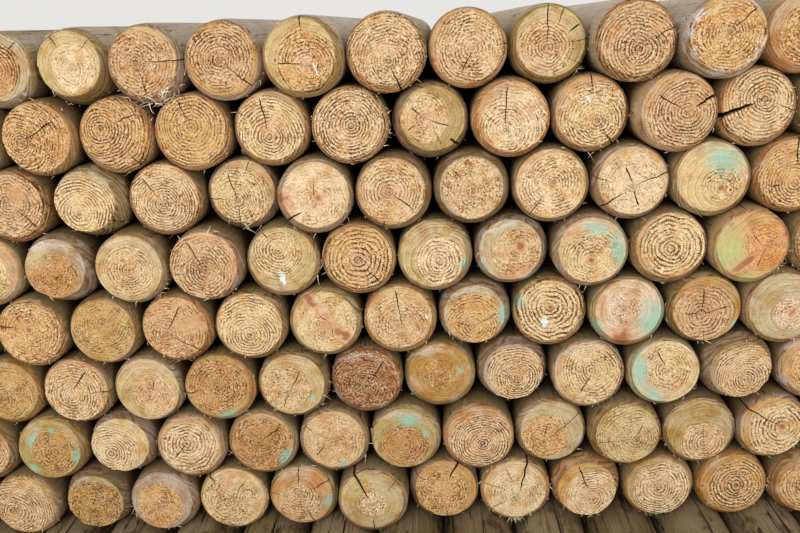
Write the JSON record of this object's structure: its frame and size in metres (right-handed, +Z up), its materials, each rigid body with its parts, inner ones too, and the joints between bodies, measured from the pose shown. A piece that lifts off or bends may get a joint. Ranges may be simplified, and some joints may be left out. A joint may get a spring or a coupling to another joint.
{
  "type": "stack of round wooden posts",
  "caption": "Free-standing pile of round softwood posts with sawn and bevelled ends, each course lying in the valleys of the one below.",
  "frame": {"origin": "on the floor, in the middle of the ground that the pile covers", "axes": "+Z up; the posts lie along Y with their bevelled ends towards -Y; +X to the right of someone who faces those ends"},
  "size_m": [1.9018, 2.435, 0.7935],
  "materials": {
    "post_wood": "machine-rounded softwood, sawn ends, dry and matt",
    "weathered_wood": "weathered grey-brown softwood with long drying cracks, matt"
  },
  "bodies": {
    "root": {"course_1": "weathered_wood", "course_2": "post_wood", "course_3": "post_wood", "course_4": "post_wood", "course_5": "post_wood", "course_6": "post_wood", "course_7": "post_wood", "course_8": "post_wood", "course_9": "post_wood"}
  },
  "joints": []
}
